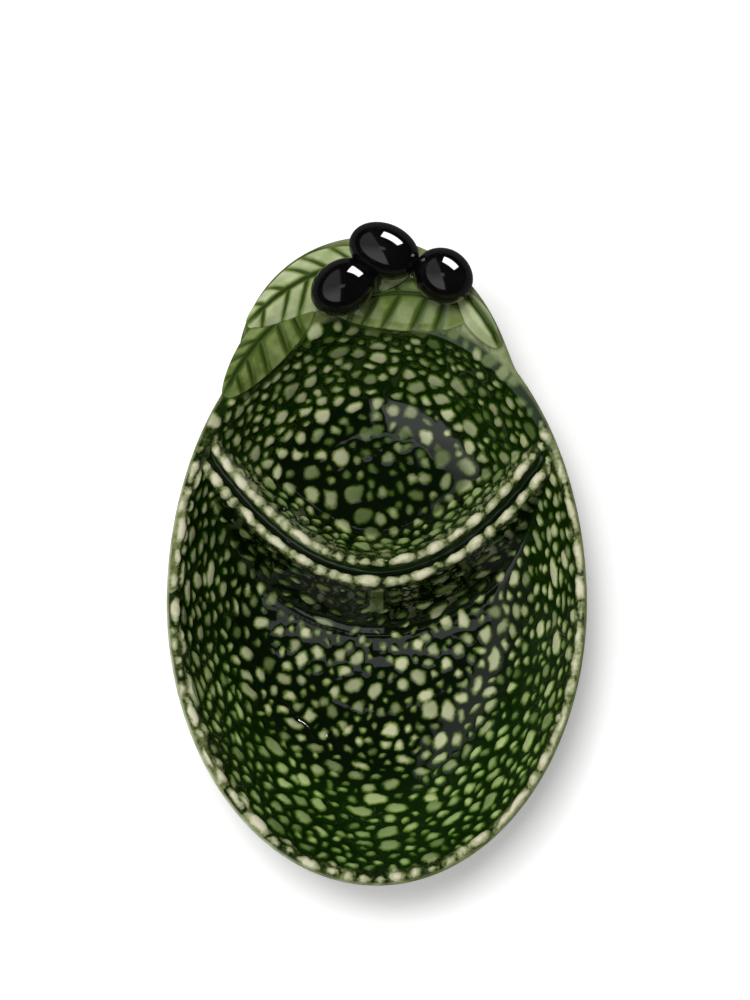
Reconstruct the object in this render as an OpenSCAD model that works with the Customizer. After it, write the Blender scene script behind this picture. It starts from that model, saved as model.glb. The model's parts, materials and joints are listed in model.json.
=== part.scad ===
// Olive dish: a cast pear-shaped dish with a partition that makes a small well
// for the stones, and a back shelf dressed with leaves and olives.
// Millimetres, +Z up, +Y towards the leaves, standing on Z = 0.
// The plan is polar about the middle of the widest section: each outline is a
// radius on a bearing, and every piece reads its seat from the same surface.

/* [Dish] */
// Width across the rim at the widest section
dish_w = 127; // [110:1:140]
// From the widest section to the front of the rim
front_l = 86; // [78:0.5:94]
// From the widest section to the back of the bowl's own oval
oval_l = 94.5; // [89:0.5:98]
// From the widest section to the centre of the round back shelf
shelf_l = 70; // [66:0.5:74]
// Centre of the shelf, to the right of the dish's middle
shelf_x = -2.2; // [-4:0.1:4]
// Radius of the round back shelf
shelf_r = 40.5; // [38:0.5:43]
// Height of the hollow's edge
edge_h = 39; // [34:0.5:44]
// Width of the lip round the bowl
lip_w = 3; // [2.4:0.1:4]
// Rise of the lip and shelf for each millimetre outwards
shelf_rise = 0.29; // [0.2:0.01:0.36]
// Thickness of the lip at its outer edge
lip_t = 3.2; // [2.6:0.1:4]
// Rounding of the lip's edges
lip_round = 0.9; // [0.5:0.1:1.2]
// Thickness of the wall
wall_t = 4.5; // [3.6:0.1:5.4]
// Thickness of the floor
floor_t = 5; // [4:0.1:6.5]

/* [Hollow] */
// From the widest section to the back edge of the hollow
hollow_back_l = 84; // [80:0.5:86]
// Squareness of the hollow's back end, where 2 is an ellipse
hollow_square = 2.15; // [2:0.05:2.3]
// Run of the wall from the edge to the floor, at the sides
side_run = 26; // [22:0.5:30]
// Run of the wall at the front
front_run = 52; // [44:0.5:56]
// Run of the wall at the back
back_run = 30; // [24:0.5:34]
// Curve of the walls, where 2 is a parabola
wall_curve = 2; // [1.8:0.05:2.4]
// Hollowing of the floor at its middle
floor_sag = 1.2; // [0.6:0.1:2]

/* [Foot] */
// Height of the foot ring
foot_h = 3; // [2:0.1:4]
// Width of the foot ring
foot_w = 5; // [4:0.5:7]
// How far the foot ring stands in from the base's edge
foot_inset = 3; // [2:0.5:5]

/* [Partition] */
// Middle of the partition, behind the widest section
partition_y = 8.8; // [4:0.2:14]
// Half span over which the bow is measured
partition_span = 52; // [48:1:56]
// How far the partition's ends lie behind its middle
partition_bow = 36.5; // [30:0.5:42]
// Height of the partition's crest at the middle
crest_h = 33; // [28:0.5:36]
// How much higher the crest stands at its ends
crest_lift = 4; // [2:0.5:5]
// Width across the crest's two ridges
crest_w = 8.6; // [7.4:0.2:9.8]
// Drop of the ridges from their tops to their edges
ridge_d = 1; // [0.6:0.1:1.4]
// Width of the groove between the ridges
groove_w = 2.4; // [1.8:0.1:3]
// Depth of that groove below the ridges' edges
groove_d = 0.9; // [0.4:0.1:1.4]
// Run of each flank from the crest to the floor
flank_run = 15; // [12:0.5:18]

/* [Leaves] */
// Thickness of a leaf along its middle
leaf_t = 2.6; // [2:0.1:3.2]
// Thickness of a leaf at its margin
margin_t = 1.2; // [0.9:0.1:1.6]
// Depth of the veins
vein_d = 0.7; // [0.4:0.1:0.9]
// Half the width of a vein at its mouth
vein_half = 0.55; // [0.4:0.05:0.7]
// How far the side veins lean towards the tip, as a share of the leaf's length
vein_lean = 0.13; // [0.05:0.01:0.2]
// Half width left at a leaf's two ends
leaf_end = 0.5; // [0.3:0.1:0.8]

/* [Upper left leaf] */
// Base of the midrib, in from the rim
upper_base_in = 7; // [5.5:0.5:9]
// Tip of the midrib, in from the rim
upper_tip_in = -1; // [-1.6:0.1:0.5]
// Bow of the midrib to the left of its run
upper_bow = -6.5; // [-8:0.5:-3]
// Half width to the left of the midrib
upper_left_w = 8; // [6:0.1:9]
// Half width to the right of the midrib
upper_right_w = 6.2; // [4.5:0.1:7]

/* [Lower left leaf] */
// Base of the midrib, in from the rim
lower_base_in = 12.5; // [11:0.5:15]
// Tip of the midrib, in from the rim
lower_tip_in = 1; // [0:0.1:2]
// Bow of the midrib to the left of its run
lower_bow = -2.5; // [-4:0.1:0]
// Half width to the left of the midrib
lower_left_w = 8.2; // [6.5:0.1:9.5]
// Half width to the right of the midrib
lower_right_w = 4.2; // [3:0.1:5.5]

/* [Middle leaf] */
// Base of the midrib, in from the rim
middle_base_in = 5.5; // [4.5:0.5:8]
// Tip of the midrib, in from the rim
middle_tip_in = 18.6; // [17:0.2:20]
// Bow of the midrib to the left of its run
middle_bow = -4; // [-6:0.5:-1]
// Half width to the left of the midrib
middle_left_w = 10.2; // [8:0.1:11]
// Half width to the right of the midrib
middle_right_w = 7.5; // [5.5:0.1:9]

/* [Right leaf] */
// Base of the midrib, in from the rim
right_base_in = 4.2; // [3:0.1:6]
// Tip of the midrib, in from the rim
right_tip_in = 2.6; // [1.8:0.1:4]
// Bow of the midrib to the left of its run
right_bow = 0.8; // [0:0.1:2]
// Half width to the left of the midrib
right_left_w = 1.9; // [1.4:0.1:3]
// Half width to the right of the midrib
right_right_w = 4.8; // [3.5:0.1:6]

/* [Olives] */
// Length of the rear olive
rear_olive_l = 22.2; // [20:0.2:24]
// Length of the left olive
left_olive_l = 21.2; // [19:0.2:23]
// Length of the right olive
right_olive_l = 18.6; // [17.2:0.2:20.6]
// Width of the olives
olive_w = 16.8; // [15.2:0.2:17.2]
// How much of an olive is pressed flat where it is stuck on
olive_press = 1.6; // [1:0.1:2.2]
// How far the rear olive reaches behind the shelf
rear_reach = 2.2; // [0.4:0.2:3.4]
// Middle of the rear olive, to the right of the dish's middle
rear_olive_x = 2.2; // [-2:0.1:6]
// Middle of the left olive, in from the rim
left_olive_in = 14.2; // [12:0.2:17]
// Middle of the right olive, in from the rim
right_olive_in = 4.8; // [4:0.2:7]

/* [Hidden] */

// Joint of slip between pieces that are stuck together
slip = 0.2;
// Points round each outline of the body
bearings = 96;
// Rings up each wall, across the lip and across the floor
wall_steps = 9;
lip_steps = 4;
floor_steps = 3;
// Softness of the notch where the shelf's outline leaves the oval
notch_right = 12;
notch_left = 2.5;

half_w = dish_w / 2;
floor_z = foot_h + floor_t;
back_l = shelf_l + shelf_r;
// The origin is the middle of the whole length
widest_y = -(back_l + rear_reach - front_l) / 2;

glaze = "#5d7a35";
leaf_glaze = "#9db36b";
olive_glaze = "#141416";
clay = "#d9cfae";

// Outlines in plan: the radius on the bearing whose cosine is c and sine s

function egg(c, s, w, front, back, p = 2) =
    pow(pow(abs(c) / w, p) + pow(abs(s) / (s < 0 ? front : back), p), -1 / p);
function soft_max(a, b, k) = max(a, b) + pow(max(k - abs(a - b), 0), 2) / (4 * k);
function round_end(c, s) = s <= 0 ? 0 : shelf_x * c + shelf_l * s
    + sqrt(max(shelf_r * shelf_r - pow(shelf_l * c - shelf_x * s, 2), 0));

function rim(c, s) =
    soft_max(egg(c, s, half_w, front_l, oval_l), round_end(c, s),
        c > 0 ? notch_right : notch_left);
function hollow(c, s) =
    egg(c, s, half_w - lip_w, front_l - lip_w, hollow_back_l, s < 0 ? 2 : hollow_square);
function floor_edge(c, s) = egg(c, s,
    half_w - lip_w - side_run, front_l - lip_w - front_run, hollow_back_l - back_run);
function base_edge(c, s) = floor_edge(c, s) + wall_t / 2;
function shelf_root(c, s) = min(hollow(c, s) + wall_t, rim(c, s));

// Height of the dish's upper surface at radius r on that bearing

function wall_rise(u) = pow(u, wall_curve);
function inside_z(r, c, s) =
    let (f = floor_edge(c, s), h = hollow(c, s))
    r < f ? floor_z - floor_sag * (1 - pow(r / f, 2))
          : floor_z + (edge_h - floor_z) * wall_rise(min((r - f) / (h - f), 1));
function lip_z(r, c, s) = edge_h + shelf_rise * (r - hollow(c, s));
function inside_at(p) = let (r = max(norm(p), 0.001)) inside_z(r, p[0] / r, p[1] / r);
function lip_at(p) = let (r = norm(p)) lip_z(r, p[0] / r, p[1] / r);

// Faces of a stack of rings of n points each, closed flat at both ends
function ring_faces(n, rows) = concat(
    [[for (i = [0:n - 1]) i]],
    [for (k = [0:rows - 2], i = [0:n - 1], half = [0, 1])
        let (a = k * n + i, b = k * n + (i + 1) % n)
        half == 0 ? [a, a + n, b + n] : [a, b + n, b]],
    [[for (i = [n - 1:-1:0]) (rows - 1) * n + i]]);

// Faces of a sheet: its upper points in rows of n, then its lower points
function sheet_faces(rows, n) =
    let (low = rows * n, side = n - 1, last = (rows - 1) * n) concat(
    [for (i = [0:rows - 2], j = [0:n - 2], half = [0, 1])
        let (a = i * n + j, d = a + n + 1)
        half == 0 ? [a, a + 1, d] : [a, d, a + n]],
    [for (i = [0:rows - 2], j = [0:n - 2], half = [0, 1])
        let (a = low + i * n + j, d = a + n + 1)
        half == 0 ? [a, d, a + 1] : [a, a + n, d]],
    [for (i = [0:rows - 2], half = [0, 1])
        let (a = i * n, c = a + n)
        half == 0 ? [a + low, a, c] : [a + low, c, c + low]],
    [for (i = [0:rows - 2], half = [0, 1])
        let (a = i * n + side, c = a + n)
        half == 0 ? [a + low, c + low, c] : [a + low, c, a]],
    [for (j = [0:n - 2], half = [0, 1])
        half == 0 ? [j + low, j + 1 + low, j + 1] : [j + low, j + 1, j]],
    [for (j = [0:n - 2], half = [0, 1])
        let (a = last + j)
        half == 0 ? [a + low, a, a + 1] : [a + low, a + 1, a + 1 + low]]);

module from_widest() {
    translate([0, widest_y, 0])
        children();
}

// Dish body: outer wall, lip, shelf and hollow as one cast shell

// Section on one bearing, as [radius, height] from the base over the lip to the floor
function body_section(c, s) =
    let (o = rim(c, s), h = hollow(c, s), f = floor_edge(c, s),
        b = base_edge(c, s), u = shelf_root(c, s),
        root_z = edge_h - wall_t, o_z = lip_z(o, c, s),
        q = lip_round, arc = 1 - sin(45), depth = edge_h - floor_z,
        edge = pow(1 - q / depth, 1 / wall_curve))
    concat(
        [for (k = [0:wall_steps])
            let (t = k / wall_steps)
            [b + (u - b) * t, foot_h + (root_z - foot_h) * wall_rise(t)]],
        [[o, o_z - lip_t], [o, o_z - q], [o - arc * q, o_z - arc * q]],
        [for (k = [0:lip_steps])
            let (r = o - q - (o - h - 2 * q) * k / lip_steps)
            [r, lip_z(r, c, s)]],
        [[h + arc * q, edge_h - arc * q]],
        [for (k = [0:wall_steps])
            let (t = edge * (1 - k / wall_steps))
            [f + (h - f) * t, floor_z + depth * wall_rise(t)]],
        [for (k = [1:floor_steps])
            let (r = f * (1 - k / (floor_steps + 1)))
            [r, inside_z(r, c, s)]]);

module dish_body() {
    turn = 360 / bearings;
    sections = [for (i = [0:bearings - 1]) body_section(cos(i * turn), sin(i * turn))];
    rows = len(sections[0]);
    points = [for (k = [0:rows - 1], i = [0:bearings - 1])
        let (p = sections[i][k])
        [p[0] * cos(i * turn), p[0] * sin(i * turn), p[1]]];
    color(glaze) from_widest()
        polyhedron(points = points, faces = ring_faces(bearings, rows), convexity = 6);
}

// Foot ring: a flat ring that follows the base

module foot_outline(inset) {
    polygon([for (i = [0:bearings - 1])
        let (a = i * 360 / bearings, r = base_edge(cos(a), sin(a)) - inset)
        [r * cos(a), r * sin(a)]]);
}

module foot_ring() {
    color(clay) from_widest()
        linear_extrude(height = foot_h)
            difference() {
                foot_outline(foot_inset);
                foot_outline(foot_inset + foot_w);
            }
}

// Partition: a bowed wall whose crest has two ridges with a groove between

// Least height of clay left where the partition is feathered into the dish
feather = 0.8;
partition_rows = 34;
ridge_at = (groove_w + crest_w) / 4;
ridge_half = (crest_w - groove_w) / 4;
flank_end = 1 - sqrt(feather / (crest_h - ridge_d - floor_z));

function crest_z(x) = crest_h + crest_lift * pow(x / partition_span, 2);
function crest_form(w) = w < groove_w / 2
    ? -ridge_d - groove_d * (1 - pow(2 * w / groove_w, 2))
    : -ridge_d * pow((w - ridge_at) / ridge_half, 2);
function partition_z(x, w) = abs(w) <= crest_w / 2
    ? crest_z(x) + crest_form(abs(w))
    : floor_z + (crest_z(x) - ridge_d - floor_z)
        * pow(1 - min((abs(w) - crest_w / 2) / flank_run, 1), 2);
// Plan point at distance w behind the crest's middle line, which is a parabola
function partition_at(x, w) =
    let (slope = 2 * partition_bow * x / pow(partition_span, 2), n = norm([slope, 1]))
    [x - w * slope / n, partition_y + slope * x / 2 + w / n];
// Where the line at w runs into the wall on one side, by halving the interval
function partition_end(w, inner, outer, step = 0) =
    let (x = (inner + outer) / 2)
    step == 16 ? inner :
    partition_z(x, w) - inside_at(partition_at(x, w)) > feather
        ? partition_end(w, x, outer, step + 1)
        : partition_end(w, inner, x, step + 1);

// Lines along the partition, from its bowl side to its well side
function partition_lines() =
    let (flank = [for (v = [1, 0.75, 0.5, 0.28, 0.1, 0])
            crest_w / 2 + flank_run * flank_end * v],
        half = concat(flank, [ridge_at + ridge_half / 2, ridge_at,
            ridge_at - ridge_half / 2, groove_w / 2]))
    concat([for (w = half) -w], [0], [for (i = [len(half) - 1:-1:0]) half[i]]);

module partition_wall() {
    lines = partition_lines();
    reach = half_w + crest_w;
    left = [for (w = lines) partition_end(w, 0, -reach)];
    right = [for (w = lines) partition_end(w, 0, reach)];
    grid = [for (i = [0:partition_rows], j = [0:len(lines) - 1])
        let (x = left[j] + (right[j] - left[j]) * i / partition_rows)
        [x, lines[j], partition_at(x, lines[j])]];
    upper = [for (g = grid) [g[2][0], g[2][1], partition_z(g[0], g[1])]];
    lower = [for (g = grid) [g[2][0], g[2][1], inside_at(g[2]) + slip]];
    color(glaze) from_widest()
        polyhedron(points = concat(upper, lower),
            faces = sheet_faces(partition_rows + 1, len(lines)), convexity = 6);
}

// Leaves: each lies on the shelf, its grid running along its side veins
// Values: base and tip as [bearing, distance in from the rim], bow of the midrib
// to the left of its run, half widths to the left and right, pairs of side veins

upper_left = [[84.4, upper_base_in], [115.6, upper_tip_in],
    upper_bow, upper_left_w, upper_right_w, 6];
lower_left = [[102.5, lower_base_in], [127, lower_tip_in],
    lower_bow, lower_left_w, lower_right_w, 5];
middle = [[72, middle_base_in], [98.5, middle_tip_in],
    middle_bow, middle_left_w, middle_right_w, 5];
right_side = [[74.6, right_base_in], [64, right_tip_in],
    right_bow, right_left_w, right_right_w, 0];

leaf_across = [-1, -0.72, -0.42, -0.18, -0.07, 0, 0.07, 0.18, 0.42, 0.72, 1];

function on_shelf(place) =
    let (c = cos(place[0]), s = sin(place[0]), r = rim(c, s) - place[1])
    [r * c, r * s];
function leaf_length(leaf) = norm(on_shelf(leaf[1]) - on_shelf(leaf[0]));
function leaf_half(leaf, t, w) =
    leaf_end + (w > 0 ? leaf[3] : leaf[4]) * pow(sin(180 * pow(t, 0.85)), 0.6);
// Plan point at share t of the length and share w of the half width
function leaf_at(leaf, t, w, grow = 0) =
    let (base = on_shelf(leaf[0]), run = on_shelf(leaf[1]) - base,
        left = [-run[1], run[0]] / norm(run),
        u = t + vein_lean * abs(w) * sin(180 * t))
    base + run * u
        + left * (leaf[2] * sin(180 * u) + w * (leaf_half(leaf, u, w) + grow));
// Rows along a leaf: three for each pair of side veins and one between pairs
plain_rows = 12;
function leaf_rows(leaf) =
    let (n = leaf[5], d = vein_half / leaf_length(leaf))
    n == 0 ? [for (k = [0:plain_rows]) k / plain_rows] :
    concat([0, 0.5 / (n + 1)],
        [for (k = [1:n], o = [-d, 0, d, 0.5 / (n + 1)]) k / (n + 1) + o], [1]);
function on_vein(i, leaf) = i > 1 && (i - 2) % 4 == 1 && i < 4 * leaf[5] + 2;
function leaf_rise(leaf, i, t, w) =
    let (swell = min(1, 5 * min(t, 1 - t)))
    margin_t + (leaf_t - margin_t) * (1 - w * w) * swell
        - vein_d * swell * (w == 0 ? 1 : on_vein(i, leaf) ? 1 - 0.7 * abs(w) : 0);

module leaf_form(leaf) {
    rows = leaf_rows(leaf);
    grid = [for (i = [0:len(rows) - 1], w = leaf_across)
        [leaf_at(leaf, rows[i], w), leaf_rise(leaf, i, rows[i], w)]];
    upper = [for (g = grid) [g[0][0], g[0][1], lip_at(g[0]) + slip + g[1]]];
    lower = [for (g = grid) [g[0][0], g[0][1], lip_at(g[0]) + slip]];
    from_widest()
        polyhedron(points = concat(upper, lower),
            faces = sheet_faces(len(rows), len(leaf_across)), convexity = 6);
}

// Room for a leaf, cut out of one that is tucked under it
module leaf_room(leaf) {
    rows = leaf_rows(leaf);
    last = len(rows) - 1;
    from_widest()
        linear_extrude(height = 2 * edge_h)
            polygon(concat(
                [for (t = rows) leaf_at(leaf, t, -1, slip)],
                [for (i = [last:-1:0]) leaf_at(leaf, rows[i], 1, slip)]));
}

module leaf_upper_left() {
    color(leaf_glaze) leaf_form(upper_left);
}

module leaf_lower_left() {
    color(leaf_glaze)
        difference() {
            leaf_form(lower_left);
            leaf_room(upper_left);
            leaf_room(middle);
        }
}

module leaf_middle() {
    color(leaf_glaze)
        difference() {
            leaf_form(middle);
            leaf_room(upper_left);
            leaf_room(right_side);
        }
}

module leaf_right() {
    color(leaf_glaze) leaf_form(right_side);
}

// Olives: stuck on the leaves and pressed against the rear one
// Values: place in plan, length, turn of the long axis

rear_turn = -24;
left_turn = 30;
right_turn = -35;
rear_half = norm([rear_olive_l * sin(rear_turn), olive_w * cos(rear_turn)]) / 2;
// An olive stands square on the sloping shelf, so its middle leans in over its seat
lean = (olive_w / 2 - olive_press) * sin(atan(shelf_rise));
rear = [[rear_olive_x, back_l + rear_reach - rear_half + lean], rear_olive_l, rear_turn];
left_one = [on_shelf([96.2, left_olive_in]), left_olive_l, left_turn];
right_one = [on_shelf([78.2, right_olive_in]), right_olive_l, right_turn];

module on_leaf(olive) {
    p = olive[0];
    bearing = atan2(p[1], p[0]);
    from_widest()
        translate([p[0], p[1], lip_at(p) + leaf_t + 2 * slip])
            rotate([0, 0, bearing])
                rotate([0, -atan(shelf_rise), 0])
                    rotate([0, 0, olive[2] - bearing])
                        children();
}

module olive_form(olive, grow = 0) {
    translate([0, 0, olive_w / 2 - olive_press])
        scale([olive[1] / olive_w, 1, 1])
            sphere(d = olive_w + 2 * grow, $fn = 48);
}

module olive(olive) {
    color(olive_glaze)
        difference() {
            on_leaf(olive)
                difference() {
                    olive_form(olive);
                    translate([0, 0, -olive_w / 2])
                        cube([2 * olive[1], 2 * olive_w, olive_w], center = true);
                }
            children();
        }
}

module olive_rear() {
    olive(rear);
}

module olive_left() {
    olive(left_one)
        on_leaf(rear) olive_form(rear, slip);
}

module olive_right() {
    olive(right_one)
        on_leaf(rear) olive_form(rear, slip);
}

dish_body();
foot_ring();
partition_wall();
leaf_upper_left();
leaf_lower_left();
leaf_middle();
leaf_right();
olive_rear();
olive_left();
olive_right();
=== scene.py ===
"""Olive dish: a pebbled, glazed earthenware dish with a well for the stones, leaves and three black olives."""

import json
import math
from collections import namedtuple
from functools import partial

import bmesh
import bpy
import numpy as np
from mathutils import Matrix, Vector, kdtree, noise

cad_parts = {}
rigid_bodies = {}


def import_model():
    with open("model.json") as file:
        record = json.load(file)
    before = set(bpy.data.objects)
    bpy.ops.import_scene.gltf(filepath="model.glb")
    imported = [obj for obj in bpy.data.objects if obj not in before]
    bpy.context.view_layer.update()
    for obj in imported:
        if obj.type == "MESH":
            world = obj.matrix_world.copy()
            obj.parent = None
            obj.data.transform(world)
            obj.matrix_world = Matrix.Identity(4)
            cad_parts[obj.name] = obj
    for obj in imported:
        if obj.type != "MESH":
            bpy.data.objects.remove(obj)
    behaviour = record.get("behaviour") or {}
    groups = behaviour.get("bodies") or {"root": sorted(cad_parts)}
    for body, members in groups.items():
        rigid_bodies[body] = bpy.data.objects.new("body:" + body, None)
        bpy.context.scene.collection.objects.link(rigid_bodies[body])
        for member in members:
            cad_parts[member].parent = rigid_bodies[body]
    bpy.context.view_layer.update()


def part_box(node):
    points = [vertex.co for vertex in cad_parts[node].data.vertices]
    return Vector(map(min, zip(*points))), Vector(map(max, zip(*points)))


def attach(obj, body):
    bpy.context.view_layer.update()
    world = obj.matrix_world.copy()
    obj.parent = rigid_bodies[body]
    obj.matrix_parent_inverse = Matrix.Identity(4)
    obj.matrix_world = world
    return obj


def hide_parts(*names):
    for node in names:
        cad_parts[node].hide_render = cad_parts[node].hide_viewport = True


bl_info = {
    "name": "Olive dish",
    "version": (1, 0, 0),
    "blender": (4, 5, 0),
    "location": "View3D > Sidebar > Olive dish",
    "description": "Builds a glazed olive dish with a stone well, veined leaves and three olives on its frame",
    "category": "Add Mesh",
}

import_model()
BODY_LOW, BODY_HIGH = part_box("dish_body")
FOOT_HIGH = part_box("foot_ring")[1]
MM = 0.001
GLAZE_IOR = 1.52
# Sockets of a Mix node for colours and for directions: all of them have the same two names
A, B, A_WAY, B_WAY = 6, 7, 4, 5
# Squares of the grids that the pieces are bent from
BODY_GRID, PARTITION_GRID, LEAF_GRID = (276, 276), (270, 130), (170, 84)


def linear(hex_colour):
    """Linear red, green and blue of an sRGB hex colour."""
    parts = [int(hex_colour[i:i + 2], 16) / 255 for i in (1, 3, 5)]
    return tuple(v / 12.92 if v <= 0.04045 else ((v + 0.055) / 1.055) ** 2.4 for v in parts)


def length(name, description, default):
    """A size that a user may change, in metres."""
    return bpy.props.FloatProperty(name=name, description=description, default=default, unit="LENGTH", precision=4)


def colour(name, description, hex_colour):
    """A glaze colour that a user may change."""
    return bpy.props.FloatVectorProperty(
        name=name, description=description, default=linear(hex_colour), subtype="COLOR", min=0, max=1)


class DishSizes(bpy.types.PropertyGroup):
    """Plan and section of the dish, measured from the middle of its widest section."""
    width: length("Width", "Across the widest section", BODY_HIGH.x - BODY_LOW.x)
    front: length("Front length", "Widest section to the front rim", 86 * MM)
    oval: length("Oval length", "Widest section to the back of the oval that the bowl follows", 94.5 * MM)
    shelf_centre: length("Shelf centre", "Widest section to the middle of the round back shelf", 70 * MM)
    shelf_offset: length("Shelf offset", "Sideways place of the round back shelf", -2.2 * MM)
    shelf_radius: length("Shelf radius", "Radius of the round back shelf", 40.5 * MM)
    notch_right: length("Right notch", "Softness of the corner between oval and shelf on the right", 12 * MM)
    notch_left: length("Left notch", "Softness of the corner between oval and shelf on the left", 2.5 * MM)
    lip: length("Lip width", "Flat lip round the hollow", 3 * MM)
    lip_round: length("Lip rounding", "Radius of the lip's outer edge", 0.9 * MM)
    lip_thickness: length("Lip thickness", "Height of the lip's edge", 3.2 * MM)
    edge_height: length("Edge height", "Foot to the edge of the hollow", 39 * MM)
    hollow_back: length("Hollow back", "Widest section to the back of the hollow", 84 * MM)
    side_run: length("Side run", "Width of the curved wall at the sides", 26 * MM)
    front_run: length("Front run", "Width of the curved wall at the front", 52 * MM)
    back_run: length("Back run", "Width of the curved wall at the back", 30 * MM)
    floor_height: length("Floor height", "Foot to the edge of the floor", FOOT_HIGH.z + 5 * MM)
    floor_sag: length("Floor sag", "How far the floor dips in the middle", 1.2 * MM)
    wall: length("Wall", "Thickness of the wall", 4.5 * MM)
    foot: length("Foot height", "Height of the foot ring", FOOT_HIGH.z)
    foot_inset: length("Foot inset", "Foot ring in from the edge of the base", 3 * MM)
    foot_width: length("Foot width", "Width of the foot ring", 5 * MM)
    shelf_rise: bpy.props.FloatProperty(name="Shelf rise", description="Slope of lip and shelf", default=0.29)
    wall_curve: bpy.props.FloatProperty(
        name="Wall curve", description="Curve of the walls, where 2 is a parabola", default=2)
    hollow_square: bpy.props.FloatProperty(
        name="Hollow squareness", description="2 is an oval back, more is squarer", default=2.15)


class PartitionSizes(bpy.types.PropertyGroup):
    """The bowed wall between bowl and well."""
    place: length("Place", "Widest section to the middle of the crest", 8.8 * MM)
    span: length("Half span", "Half the width over which the bow is measured", 52 * MM)
    bow: length("Bow", "How far the ends lie behind the middle", 36.5 * MM)
    height: length("Crest height", "Foot to the top of the ridges in the middle", 33 * MM)
    lift: length("Crest lift", "How much higher the crest is at its ends", 4 * MM)
    crest: length("Crest width", "Over both ridges", 8.6 * MM)
    ridge: length("Ridge height", "Ridge above its foot", 1.0 * MM)
    groove: length("Groove width", "Between the ridges", 2.4 * MM)
    groove_depth: length("Groove depth", "Depth of the groove below the foot of the ridges", 0.9 * MM)
    flank: length("Flank run", "Width of each curved flank", 15 * MM)
    fillet: length("Fillet", "Softness of the slip-filled seam with the dish", 4 * MM)


class PebbleSizes(bpy.types.PropertyGroup):
    """The pebbled relief of the hollow."""
    bowl_spacing: length("Bowl spacing", "Usual distance of pebbles on the floor of the bowl", 3.6 * MM)
    well_spacing: length("Well spacing", "Usual distance of pebbles on the floor of the well", 4.0 * MM)
    wall_spacing: length("Wall spacing", "Usual distance of pebbles on the walls, down their slope", 3.3 * MM)
    bead_spacing: length("Bead spacing", "Usual length of the beads along the rim", 4.6 * MM)
    ridge_spacing: length("Ridge spacing", "Usual length of the beads along the ridges of the crest", 4.0 * MM)
    groove: length("Groove", "Least width of the glaze-filled grooves", 0.7 * MM)
    rise: length("Rise", "Height of a pebble above the pooled glaze", 1.0 * MM)
    seed: bpy.props.IntProperty(name="Seed", description="Another number lays the pebbles another way", default=11)


class LeafSizes(bpy.types.PropertyGroup):
    """The leaves laid over the back shelf."""
    thickness: length("Thickness", "Thickness at the midrib", 2.6 * MM)
    margin: length("Margin", "Thickness at the edge", 0.35 * MM)
    vein_depth: length("Vein depth", "Depth of the carved veins", 0.75 * MM)
    vein_width: length("Vein width", "Half width of a carved vein", 0.45 * MM)
    seam: length("Seam", "Slip between leaf and shelf", 0.2 * MM)
    vein_lean: bpy.props.FloatProperty(
        name="Vein lean", description="Lean of the side veins to the tip, as a share of the length", default=0.13)


class OliveSizes(bpy.types.PropertyGroup):
    """The three olives."""
    width: length("Width", "Across an olive", 16.8 * MM)
    rear: length("Rear length", "Length of the rear olive", 22.2 * MM)
    left: length("Left length", "Length of the left olive", 21.2 * MM)
    right: length("Right length", "Length of the right olive", 18.6 * MM)
    press: length("Press", "How far an olive is pressed flat at its seat", 1.6 * MM)
    reach: length("Reach", "Rear olive beyond the back of the shelf", 2.2 * MM)
    halo: length("Halo", "Width of the black glaze run round an olive's foot", 0.8 * MM)


class GlazeColours(bpy.types.PropertyGroup):
    """Colours of the glazes, the clay and the floor."""
    pebble: colour("Pebble", "Thin glaze on the tops of the pebbles", "#a0a67a")
    olive_green: colour("Olive green", "Glaze on the shoulders of the pebbles", "#6c7b3f")
    moss: colour("Moss green", "Thick glaze on the darker pebbles", "#324612")
    pool: colour("Pooled glaze", "Deep glaze in the grooves", "#061003")
    bead: colour("Bead", "Thinnest glaze, on rim and ridges", "#a3a880")
    lip: colour("Lip", "Smooth glaze on the lip and shelf", "#7b8557")
    leaf: colour("Leaf", "Glaze on the leaves", "#8a9a5e")
    leaf_deep: colour("Leaf shade", "Thicker glaze on the leaves", "#5c6e31")
    vein: colour("Vein", "Glaze pooled in the veins", "#2a3f10")
    olive: colour("Olive", "Black glaze of the olives", "#040404")
    outside: colour("Outside", "Smooth glaze on the outer wall", "#3f5a1c")
    clay: colour("Clay", "Bare fired clay of the foot", "#d6c7a2")
    ground: colour("Floor", "Floor of the stage", "#f4f4f4")


# Outlines in plan and heights, all in metres from the middle of the widest section

def egg(c, s, half, front, back, power=2.0):
    """Radius of an egg on the bearing of cosine c and sine s."""
    run = np.where(s < 0, front, back)
    return ((np.abs(c) / half) ** power + (np.abs(s) / run) ** power) ** (-1.0 / power)


def soft_max(a, b, blend):
    """The larger of two values, with a rounded change from one to the other."""
    return np.maximum(a, b) + np.maximum(blend - np.abs(a - b), 0) ** 2 / (4 * blend)


def smooth_step(low, high, value):
    """0 below low, 1 above high, with a soft change between."""
    t = np.clip((value - low) / (high - low), 0, 1)
    return t * t * (3 - 2 * t)


def outlines(dish, c, s):
    """Rim, edge of the hollow and edge of the floor on a bearing."""
    half = dish.width / 2
    swing = dish.shelf_radius ** 2 - (dish.shelf_centre * c - dish.shelf_offset * s) ** 2
    shelf = np.where(s > 0, dish.shelf_offset * c + dish.shelf_centre * s + np.sqrt(np.maximum(swing, 0)), 0)
    rim = soft_max(egg(c, s, half, dish.front, dish.oval), shelf,
                   np.where(c > 0, dish.notch_right, dish.notch_left))
    power = np.where(s < 0, 2.0, dish.hollow_square)
    hollow = egg(c, s, half - dish.lip, dish.front - dish.lip, dish.hollow_back, power)
    floor = egg(c, s, half - dish.lip - dish.side_run, dish.front - dish.lip - dish.front_run,
                dish.hollow_back - dish.back_run)
    return rim, hollow, floor


def polar(x, y):
    """Radius, cosine and sine of plan points."""
    r = np.maximum(np.hypot(x, y), 1e-6)
    return r, np.where(r > 1e-6, x / r, 1.0), y / r


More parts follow.
